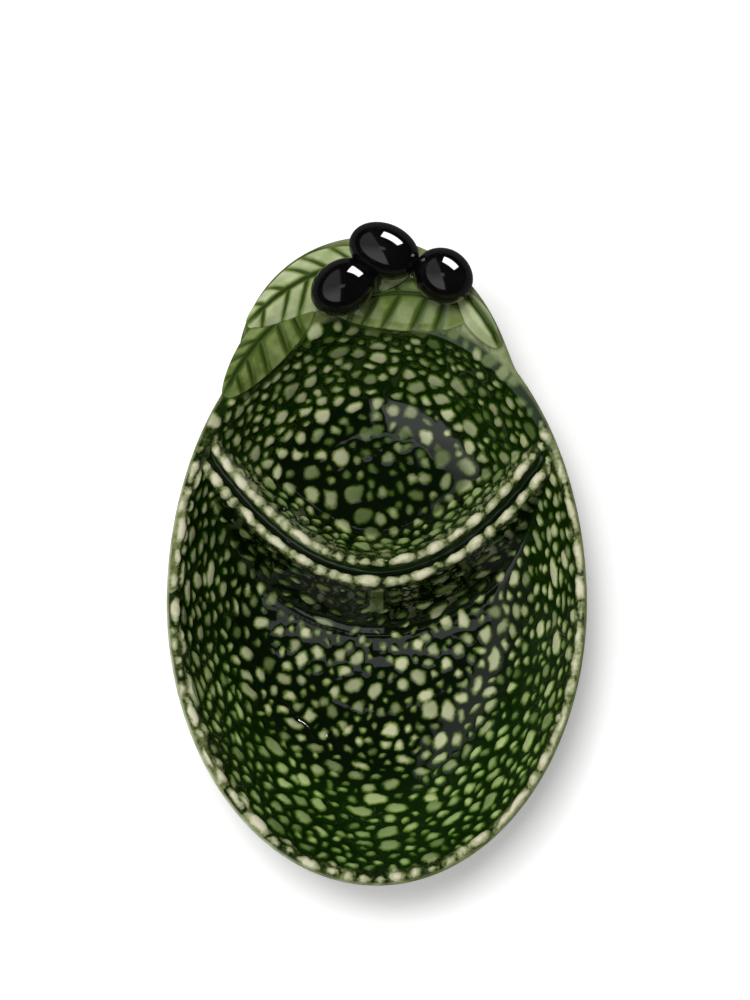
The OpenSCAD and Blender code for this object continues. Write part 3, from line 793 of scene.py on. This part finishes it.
def hollow_layers(bm, dish, part, pebbles, points, partition):
    """Raises the pebbles on a surface of the hollow and keeps what the glaze follows."""
    stones = lay_stones(dish, part, pebbles)
    x, y, z = points.T
    r, c, s = polar(x, y)
    hollow = outlines(dish, c, s)[1]
    along, behind = partition_place(part, x, y)
    in_well = behind > 0
    climb = np.clip((z - dish.floor_height) / (dish.edge_height - dish.floor_height), 0, 1)
    wall = smooth_step(*CLIMB, climb)
    # Without a seed noise_vector starts from the clock
    noise.seed_set(pebbles.seed)
    inside, shade = pebble_field(dish, points, stones, pebbles.groove)
    middle, half = ridge_line(part)
    back = smooth_step(*BACK, s)
    right = smooth_step(0.1, 0.5, c)
    # The smooth lip starts 2 to 3 mm outside the hollow, further out at the back, and beads sit on its inner edge
    on_lip = smooth_step(hollow + (2.0 + 0.6 * back) * MM, hollow + (2.9 + 1.4 * back) * MM, r)
    bead = smooth_step(hollow - (1.6 - 1.0 * right) * MM, hollow - (0.4 - 0.8 * right) * MM, r) * (1 - back)
    # The crest has a bead on each ridge and a sharp cut between them
    ridge, cut = np.zeros_like(x), np.zeros_like(x)
    if partition:
        cut = np.clip(1 - np.abs(behind) / (middle - 0.25 * half), 0, 1)
        ridge = smooth_step(half * 1.7, half * 0.9, np.abs(np.abs(behind) - middle)) * smooth_step(0.65, 0.35, cut)
    # On the right of the rim and on the crest the beads have run together
    band = np.maximum(bead * right, 0.8 * ridge)
    inside = inside * (1 - 0.4 * band) + 0.3 * MM * band - 1.2 * MM * smooth_step(0.35, 0.65, cut)
    # A worn rib runs down the middle of the flank that faces the bowl
    flank = smooth_step(0, 6 * MM, partition_height(dish, part, along, behind) - dish_height(dish, x, y))
    rib = flank * (behind < -middle) * (1 - ridge) * smooth_step(2.9 * MM, 1.7 * MM, np.abs(x))
    rib = rib * smooth_step(0.05, 0.35, climb)
    inside = inside * (1 - 0.75 * rib) + 1.4 * MM * rib
    thin = np.maximum(bead, ridge)
    relief = pebble_rise(inside, pebbles.rise) * (1 - on_lip) * (1 - 0.3 * wall + 0.6 * thin)
    relief = relief - 0.7 * MM * cut
    add_level(bm)
    for v, rise in zip(bm.verts, relief):
        v.co += v.normal * float(rise)
    # The flank that faces the well is painted lighter and the one that faces the bowl darker: painted light and
    # painted shade, as light falls from behind, with the glaze also deep on the bowl's side. The walls are a
    # little paler, the well's floor darker and its left side paler, and the back of the hollow is painted darker
    # up towards
    # the leaves: painted shade
    front = smooth_step(0.0, -0.7, s) * wall
    shade = shade + flank * (1 - ridge) * np.where(in_well, 0.45, -0.65)
    shade = shade + 0.12 * wall - 0.65 * in_well * smooth_step(0.1, 0.0, climb)
    shade = shade * (1 - rib) + 0.1 * rib
    left_of_well = 0.45 * smooth_step(0, -0.6, c) * smooth_step(0.1, 0.4, s) * in_well
    shade = shade - 0.03 * front - 0.6 * back * climb + left_of_well
    # Along the leaves' edges the glaze has pooled, and the dish is painted darker there as painted shade under the
    # leaves' edges
    pool = np.zeros_like(x)
    if not partition:
        near = y > dish.oval * 0.5
        for leaf in LEAVES.values():
            gap = -depth_inside(x[near], y[near], leaf_edge(dish, leaf, bpy.context.scene.leaf_sizes))
            pool[near] = np.maximum(pool[near], 0.8 * smooth_step(1.1 * MM, 0.2 * MM, gap))
    layers = {"inside": inside / MM, "shade": shade, "thin": thin, "smooth": on_lip, "pool": pool,
              "wall": wall * (1 - flank * (behind < 0)),
              "green": np.maximum(front, flank * in_well * (1 - ridge)),
              "broken": np.maximum(front, flank * (1 - ridge)),
              # The left of the lip is painted paler: painted light from the left
              "painted_lip_light": smooth_step(-0.1, -0.6, c) * smooth_step(0.7, 0.4, s)}
    for name, values in layers.items():
        add_layer(bm, name, values)


class DISH_OT_body(bpy.types.Operator):
    """Casts the pear-shaped dish: pebbled hollow, lip, back shelf, plain outer wall and base"""
    bl_idname = "olive_dish.body"
    bl_label = "Dish body"

    def execute(self, context):
        scene = context.scene
        dish, part, pebbles = scene.dish_sizes, scene.partition_sizes, scene.pebble_sizes
        bm, flat = new_grid(*BODY_GRID)
        bearing, share = disc_points(flat)
        x, y, z = section_points(hollow_sections(dish), bearing, share)
        wall = partition_height(dish, part, *partition_place(part, x, y))
        joined = soft_max(z, wall, part.fillet)
        # Under the partition the dish stays below it, so that only one of them shows
        z = np.where(wall > z, np.maximum(joined - 2 * (wall - z), z - 0.5 * MM), joined)
        points = np.stack([x, y, z], 1)
        place_on_dish(bm, dish, points)
        hollow_layers(bm, dish, part, pebbles, points, False)
        self.outer_wall(bm, dish)
        colours = scene.glaze_colours
        add_piece(bm, "glazed_body", "dish_body", [pebbled_glaze(colours), smooth_glaze(colours)])
        return {"FINISHED"}

    def outer_wall(self, bm, dish):
        """Extrudes the edge of the hollow's sheet over the lip, down the outer wall and across the base."""
        middle, root = widest(dish), dish.edge_height - dish.wall
        lip_rings, wall_rings, base_rings = 5, 10, (0.9, 0.5)

        def ring(k, rim, hollow, floor):
            q, top = dish.lip_round, dish.edge_height + dish.shelf_rise * (rim - hollow)
            arc, low = 1 - math.sin(math.pi / 4), top - dish.lip_thickness
            under, base = np.minimum(hollow + dish.wall, rim), floor + dish.wall / 2
            if k < lip_rings:
                return [(rim - arc * q, top - arc * q), (rim, top - q), (rim, low + q),
                        (rim - arc * q, low + arc * q), (rim - q, low)][k]
            k -= lip_rings
            if k < wall_rings:
                t = 1 - k / (wall_rings - 1)
                return np.minimum(base + (under - base) * t, rim - q / 2), \
                    dish.foot + (root - dish.foot) * t ** dish.wall_curve + 0 * base
            return base * base_rings[k - wall_rings], dish.foot + 0 * base

        smooth, thin = bm.verts.layers.float["smooth"], bm.verts.layers.float["thin"]
        edges = [e for e in bm.edges if e.is_boundary]
        for k in range(lip_rings + wall_rings + len(base_rings)):
            verts, edges, faces = extrude_rim(bm, edges)
            a = np.array([math.atan2(v.co.y - middle, v.co.x) for v in verts])
            r, z = ring(k, *outlines(dish, np.cos(a), np.sin(a)))
            for v, turn, radius, height in zip(verts, a, r, z):
                v.co = (radius * math.cos(turn), radius * math.sin(turn) + middle, height)
                v[smooth], v[thin] = 1.0, 0.0
            # Below the middle of the lip's edge the glaze is the plain one
            for face in faces if k > 2 else ():
                face.material_index = 1
        bmesh.ops.contextual_create(bm, geom=edges, mat_nr=1)


class DISH_OT_partition(bpy.types.Operator):
    """Lays the bowed partition with its crest of two beaded ridges across the hollow"""
    bl_idname = "olive_dish.partition"
    bl_label = "Partition"

    def execute(self, context):
        scene = context.scene
        dish, part, pebbles = scene.dish_sizes, scene.partition_sizes, scene.pebble_sizes
        bm, flat = new_grid(*PARTITION_GRID)
        lines = partition_lines(dish, part, PARTITION_GRID[1] + 1)
        behind = np.interp(flat[:, 1], np.linspace(-1, 1, len(lines)), lines)
        along = flat[:, 0] * np.interp(behind, lines, partition_ends(dish, part, lines))
        x, y = partition_plan(part, along, behind)
        z, wall = dish_height(dish, x, y), partition_height(dish, part, along, behind)
        joined = soft_max(z, wall, part.fillet)
        top = np.where(wall < z, joined - 2 * (z - wall), joined)
        points = np.stack([x, y, top], 1)
        place_on_dish(bm, dish, points)
        hollow_layers(bm, dish, part, pebbles, points, True)
        add_underside(bm, dish, lambda x, y: dish_height(dish, x, y) - 1.2 * MM, 0.4 * MM)
        add_piece(bm, "pebbled_partition", "partition_wall", [pebbled_glaze(scene.glaze_colours)])
        return {"FINISHED"}


class DISH_OT_foot(bpy.types.Operator):
    """Turns the unglazed foot ring that the dish stands on"""
    bl_idname = "olive_dish.foot"
    bl_label = "Foot ring"

    def execute(self, context):
        scene = context.scene
        dish = scene.dish_sizes
        middle = widest(dish)
        bm = bmesh.new()
        bmesh.ops.create_circle(bm, segments=288, radius=1)
        first = edges = bm.edges[:]
        soft, wide = 0.8 * MM, dish.foot_width
        profile = [(0, dish.foot), (0, soft), (0.3 * soft, 0.3 * soft), (soft, 0), (wide - soft, 0),
                   (wide - 0.3 * soft, 0.3 * soft), (wide, soft), (wide, dish.foot)]
        verts = bm.verts[:]
        for k, (inset, height) in enumerate(profile):
            if k:
                verts, edges, _ = extrude_rim(bm, edges)
            a = np.array([math.atan2(v.co.y - (middle if k else 0), v.co.x) for v in verts])
            floor = outlines(dish, np.cos(a), np.sin(a))[2]
            for v, turn, r in zip(verts, a, floor + dish.wall / 2 - dish.foot_inset - inset):
                v.co = (r * math.cos(turn), r * math.sin(turn) + middle, height)
        bmesh.ops.bridge_loops(bm, edges=first + edges)
        add_piece(bm, "clay_foot", "foot_ring", [bare_clay(scene.glaze_colours)])
        return {"FINISHED"}


# Leaves: base and tip as bearing in degrees and distance in from the rim, bow of the midrib to the left,
# half widths left and right, pairs of side veins, the leaves that lie over this one, and how much paler the leaf
# is drawn

Leaf = namedtuple("Leaf", "base tip bow left right pairs over paleness")
LEAVES = {
    "leaf_upper_left": Leaf((84.4, 7 * MM), (115.4, 0.6 * MM), -7 * MM, 9.8 * MM, 6.2 * MM, 6, (), 0.75),
    "leaf_lower_left": Leaf((102.5, 12.5 * MM), (127, 1 * MM), -2.5 * MM, 8.2 * MM, 4.2 * MM, 5,
                            ("leaf_upper_left", "leaf_middle"), -0.12),
    "leaf_middle": Leaf((72, 5.5 * MM), (98.5, 18.6 * MM), -4 * MM, 10.2 * MM, 7.5 * MM, 5,
                        ("leaf_upper_left", "leaf_right"), -0.15),
    "leaf_right": Leaf((74.6, 4.2 * MM), (64, 2.6 * MM), 0.8 * MM, 1.9 * MM, 4.8 * MM, 0, (), 0.7),
}


def on_shelf(dish, bearing, inset):
    """Plan point on a bearing in degrees, a distance in from the rim."""
    c, s = math.cos(math.radians(bearing)), math.sin(math.radians(bearing))
    r = float(outlines(dish, np.array(c), np.array(s))[0]) - inset
    return np.array([r * c, r * s])


def leaf_plan(dish, leaf, leaves, t, w):
    """Plan points of a leaf at shares t of its length and w of its half width, left being positive."""
    start = on_shelf(dish, *leaf.base)
    run = on_shelf(dish, *leaf.tip) - start
    side = np.array([-run[1], run[0]]) / np.hypot(*run)
    u = t + leaves.vein_lean * np.abs(w) * np.sin(math.pi * t)
    half = 0.5 * MM + np.where(w > 0, leaf.left, leaf.right) * np.sin(math.pi * np.clip(u, 0, 1) ** 0.85) ** 0.6
    across = leaf.bow * np.sin(math.pi * u) + w * half
    return start[0] + run[0] * u + side[0] * across, start[1] + run[1] * u + side[1] * across, np.hypot(*run), half


def leaf_edge(dish, leaf, leaves):
    """Outline of a leaf in plan."""
    t = np.linspace(0, 1, 60)
    right = leaf_plan(dish, leaf, leaves, t, -np.ones_like(t))[:2]
    left = leaf_plan(dish, leaf, leaves, t[::-1], np.ones_like(t))[:2]
    return np.concatenate([np.stack(right, 1), np.stack(left, 1)])


def depth_inside(x, y, outline):
    """Distance of plan points inside an outline, negative outside."""
    a, b = outline, np.roll(outline, -1, 0)
    near, odd = np.full(len(x), 1.0), np.zeros(len(x), bool)
    for (ax, ay), (bx, by) in zip(a, b):
        dx, dy = bx - ax, by - ay
        t = np.clip(((x - ax) * dx + (y - ay) * dy) / (dx * dx + dy * dy + 1e-18), 0, 1)
        near = np.minimum(near, np.hypot(x - ax - t * dx, y - ay - t * dy))
        if abs(dy) > 1e-12:
            odd ^= ((ay > y) != (by > y)) & (x < ax + (y - ay) * dx / dy)
    return np.where(odd, near, -near)


class DISH_OT_leaves(bpy.types.Operator):
    """Lays the veined leaves over the back shelf, each tucked under the ones above it"""
    bl_idname = "olive_dish.leaves"
    bl_label = "Leaves"

    def execute(self, context):
        scene = context.scene
        glaze = leaf_glaze(scene.glaze_colours)
        for name in LEAVES:
            self.leaf(scene.dish_sizes, scene.leaf_sizes, name, glaze)
        return {"FINISHED"}

    def leaf(self, dish, leaves, name, glaze):
        """One leaf: a carved sheet with a rounded edge and its underside on the shelf."""
        leaf = LEAVES[name]
        pairs = leaf.pairs
        bm, flat = new_grid(*LEAF_GRID)
        t, w = (flat[:, 0] + 1) / 2, flat[:, 1]
        x, y, run, half = leaf_plan(dish, leaf, leaves, t, w)
        # Distance from the midrib and from the nearest side vein; the side veins aren't quite evenly spaced
        order = np.clip(np.round(t * (pairs + 1)), 1, max(pairs, 1))
        wander = 0.018 * np.sin(order * 2.3 + np.where(w > 0, 0.0, 1.7))
        from_vein = np.abs(t - order / (pairs + 1) - wander) * run * 0.86 + (0 if pairs else run)
        from_rib = np.abs(w) * half
        # Side veins get finer towards the edge, and all veins fade at base and tip
        taper = np.clip(1.02 - np.abs(w), 0, 1) ** 0.5
        side = np.exp(-(from_vein / (leaves.vein_width * (0.45 + 0.55 * taper))) ** 2) * np.clip(1.6 * taper, 0, 1)
        rib = np.exp(-(from_rib / (leaves.vein_width * (1.25 if pairs else 2))) ** 2)
        ends = np.clip(np.minimum(t, 1 - t) * 9, 0, 1)
        carved = np.maximum(side * 0.85, rib) * ends
        # The leaf is thickest at the midrib, puffed between the veins and rounded over 2.2 mm at its edge
        swell = np.minimum(1, 5 * np.minimum(t, 1 - t))
        rise = leaves.margin + (leaves.thickness - leaves.margin) * (1 - w * w) * swell
        puff = np.minimum(from_vein, from_rib) / (1.8 * MM)
        rise = rise + 0.28 * MM * smooth_step(0, 1, puff) * (1 - np.abs(w) ** 4) - leaves.vein_depth * carved
        edge = np.minimum((1 - np.abs(w)) * half, np.minimum(t, 1 - t) * run)
        rise = rise * (0.25 + 0.75 * np.sqrt(np.clip(edge / (2.2 * MM), 0, 1)))
        rise = np.minimum(rise, leaves.thickness + 0.1 * MM)
        border = smooth_step(0.45 * MM, 0.0, edge)
        # Under another leaf it is pressed thin
        for other in leaf.over:
            cover = depth_inside(x, y, leaf_edge(dish, LEAVES[other], leaves))
            rise = np.minimum(rise, leaves.thickness - (leaves.thickness - 0.25 * MM)
                              * smooth_step(-0.5 * MM, 0.5 * MM, cover))
            border = np.maximum(border, smooth_step(-0.8 * MM, 0, cover))
        place_on_dish(bm, dish, np.stack([x, y, shelf_height(dish, x, y) + leaves.seam + rise], 1))
        add_layer(bm, "vein", np.clip(carved * 1.15, 0, 1))
        add_layer(bm, "border", border * 0.15)
        add_layer(bm, "shade", smooth_step(0, 1, puff) * 0.75 - 0.28 + 0.2 * w * w + leaf.paleness * 0.6)
        add_underside(bm, dish, lambda x, y: shelf_height(dish, x, y) - leaves.seam, 0.1 * MM)
        add_piece(bm, name.replace("leaf", "veined_leaf"), name, [glaze])


class DISH_OT_olives(bpy.types.Operator):
    """Sets the three black olives on the leaves"""
    bl_idname = "olive_dish.olives"
    bl_label = "Olives"

    def execute(self, context):
        scene = context.scene
        dish, olives, leaves = scene.dish_sizes, scene.olive_sizes, scene.leaf_sizes
        glaze = olive_glaze(scene.glaze_colours)
        # The rear olive is placed by how far it reaches behind the shelf, and leans in over its seat
        rear_turn = -24
        turn = math.radians(rear_turn)
        reach = math.hypot(olives.rear * math.sin(turn), olives.width * math.cos(turn)) / 2
        lean = (olives.width / 2 - olives.press) * math.sin(math.atan(dish.shelf_rise))
        back = dish.shelf_centre + dish.shelf_radius + olives.reach - reach + lean
        for name, place, long, turn in (
                ("olive_rear", (2.2 * MM, back), olives.rear, rear_turn),
                ("olive_left", on_shelf(dish, 96.2, 14.2 * MM), olives.left, 30),
                ("olive_right", on_shelf(dish, 78.2, 4.8 * MM), olives.right, -35)):
            self.olive(dish, olives, leaves, name, place, long, turn, glaze)
        return {"FINISHED"}

    def olive(self, dish, olives, leaves, name, place, long, turn, glaze):
        """One olive: a fine ball drawn out, a little uneven, with glaze run out round its foot."""
        bm = bmesh.new()
        bmesh.ops.create_icosphere(bm, subdivisions=6, radius=olives.width / 2)
        up = olives.width / 2 - olives.press
        x, y = place
        bearing = math.atan2(y, x)
        seat = float(shelf_height(dish, np.array(x), np.array(y))) + leaves.thickness + 2 * leaves.seam
        for v in bm.verts:
            uneven = noise.noise(v.co / (9 * MM) + Vector((turn, 0, 0))) * 0.16 * MM
            v.co = v.co * (1 + (uneven - 0.1 * MM) / (olives.width / 2))
            v.co.x *= long / olives.width
            v.co.z += up
            foot = max(0.0, 1 - max(v.co.z, 0) / (1.3 * MM)) ** 2
            out = Vector((v.co.x, v.co.y, 0))
            if foot and out.length > 1 * MM:
                v.co += out.normalized() * olives.halo * foot
            v.co.z = max(v.co.z, -0.9 * MM)
        place_matrix = (Matrix.Translation((x, y + widest(dish), seat))
                        @ Matrix.Rotation(bearing, 4, "Z") @ Matrix.Rotation(-math.atan(dish.shelf_rise), 4, "Y")
                        @ Matrix.Rotation(math.radians(turn) - bearing, 4, "Z"))
        bmesh.ops.transform(bm, matrix=place_matrix, verts=bm.verts[:])
        add_piece(bm, name.replace("olive", "black_olive"), name, [glaze])


class DISH_OT_stage(bpy.types.Operator):
    """Sets the white floor, the soft studio light and the camera above the dish"""
    bl_idname = "olive_dish.stage"
    bl_label = "Stage"

    def execute(self, context):
        scene = context.scene
        scene.view_settings.view_transform = "Standard"
        bm = bmesh.new()
        bmesh.ops.create_grid(bm, x_segments=24, y_segments=24, size=2.4)
        mesh = bpy.data.meshes.new("floor")
        bm.to_mesh(mesh)
        bm.free()
        mesh.materials.append(studio_floor(scene.glaze_colours))
        floor = bpy.data.objects.new("floor", mesh)
        scene.collection.objects.link(floor)
        self.sky(scene)
        middle = Vector((0, 0.015, 0.03))
        # A high lamp that the glaze doesn't mirror, a small grey card overhead, and a softbox behind on the right
        # that is flagged off all but the olives
        high = self.panel(scene, "high_lamp", middle, (-0.13, 0.12, 0.98), 1.5, (0.5, 0.5), 17.0)
        high.visible_glossy = False
        self.panel(scene, "card", Vector((-0.035, -0.025, 0.03)), (0, -0.02, 1), 1.0, (0.24, 0.23), 0.65)
        softbox = self.panel(scene, "softbox", middle, (0.42, 0.68, 0.55), 1.0, (0.8, 0.5), 20.0)
        softbox.visible_diffuse = False
        lit = bpy.data.collections.new("lit_by_softbox")
        for piece in scene.objects:
            if piece.name.startswith("black_olive"):
                lit.objects.link(piece)
        softbox.light_linking.receiver_collection = lit
        self.camera(scene)
        return {"FINISHED"}

    def panel(self, scene, name, middle, direction, distance, size, radiance):
        """A rectangular lamp that faces the dish; radiance 1 is as bright as a white wall."""
        lamp = bpy.data.lights.new(name, "AREA")
        lamp.shape, lamp.size, lamp.size_y = "RECTANGLE", *size
        lamp.energy = radiance * 4 * size[0] * size[1]
        held = bpy.data.objects.new(name, lamp)
        way = Vector(direction).normalized()
        held.location = middle + way * distance
        held.rotation_euler = way.to_track_quat("Z", "Y").to_euler()
        held.visible_camera = False
        scene.collection.objects.link(held)
        return held

    def sky(self, scene):
        """A dark room with a grey cloth on the left and round to the front, which the pooled glaze mirrors."""
        world = bpy.data.worlds.new("studio")
        world.use_nodes = True
        world.node_tree.nodes.clear()
        node = partial(add_node, world.node_tree)
        way = node("TexCoord").outputs["Generated"]
        side = node("SeparateXYZ", {"Vector": way}).outputs
        slant = node("Math", {0: side["Y"], 1: 0.2, 2: side["X"]}, operation="MULTIPLY_ADD")
        left = node("MapRange", {"Value": slant, "From Min": -0.1, "From Max": -0.19})
        high = node("MapRange", {"Value": side["Z"], "From Min": 0.35, "From Max": 0.43})
        cloth = node("Math", {0: left, 1: high}, operation="MULTIPLY")
        # The cloth is lit best in front of the dish
        fall = node("MapRange", {
            "Value": side["Y"], "From Min": 0.0, "From Max": -0.6, "To Min": 0.45, "To Max": 1.1})
        lit = node("Math", {0: cloth, 1: fall}, operation="MULTIPLY")
        # A small bright lamp behind on the right, far off, makes the sparkles
        toward = node("VectorMath", {0: way, 1: Vector((0.38, 0.58, 0.72)).normalized()}, operation="DOT_PRODUCT")
        spark = node("MapRange", {
            "Value": toward, "From Min": 0.9996, "From Max": 0.9998, "To Min": 0.02, "To Max": 40.0})
        level = node("Math", {0: lit, 1: spark}, operation="ADD")
        # Past the end of the floor the camera sees white
        seen = node("LightPath").outputs["Is Camera Ray"]
        plain = node("Math", {0: level, 1: seen}, operation="MAXIMUM")
        back = node("Background", {"Color": (1, 1, 1, 1), "Strength": plain})
        node("OutputWorld", {"Surface": back})
        scene.world = world

    def camera(self, scene):
        """Looks down on the dish from just in front of it."""
        lens = bpy.data.cameras.new("view")
        lens.sensor_fit, lens.sensor_height, lens.lens = "VERTICAL", 36, 94.85
        eye = bpy.data.objects.new("view", lens)
        rise, away = math.radians(81), 0.8
        target = Vector((-0.55 * MM, widest(scene.dish_sizes) + 29.85 * MM, 40 * MM))
        eye.location = target + away * Vector((0, -math.cos(rise), math.sin(rise)))
        eye.rotation_euler = (math.pi / 2 - rise, 0, 0)
        lens.clip_start, lens.clip_end = 0.02, 20
        scene.collection.objects.link(eye)
        scene.camera = eye


class DISH_PT_olive_dish(bpy.types.Panel):
    """Lists the pieces of the olive dish"""
    bl_label = "Olive dish"
    bl_idname = "DISH_PT_olive_dish"
    bl_space_type = "VIEW_3D"
    bl_region_type = "UI"
    bl_category = "Olive dish"

    def draw(self, context):
        for piece in PIECES:
            self.layout.operator(piece.bl_idname)


GROUPS = {"dish_sizes": DishSizes, "partition_sizes": PartitionSizes, "pebble_sizes": PebbleSizes,
          "leaf_sizes": LeafSizes, "olive_sizes": OliveSizes, "glaze_colours": GlazeColours}
PIECES = (DISH_OT_body, DISH_OT_partition, DISH_OT_foot, DISH_OT_leaves, DISH_OT_olives, DISH_OT_stage)


def register():
    for name, group in GROUPS.items():
        bpy.utils.register_class(group)
        setattr(bpy.types.Scene, name, bpy.props.PointerProperty(type=group))
    for piece in (*PIECES, DISH_PT_olive_dish):
        bpy.utils.register_class(piece)


def unregister():
    for piece in (DISH_PT_olive_dish, *reversed(PIECES)):
        bpy.utils.unregister_class(piece)
    for name, group in GROUPS.items():
        delattr(bpy.types.Scene, name)
        bpy.utils.unregister_class(group)


def main():
    register()
    bpy.ops.olive_dish.body()
    bpy.ops.olive_dish.partition()
    bpy.ops.olive_dish.foot()
    bpy.ops.olive_dish.leaves()
    bpy.ops.olive_dish.olives()
    bpy.ops.olive_dish.stage()


if __name__ == "__main__":
    main()
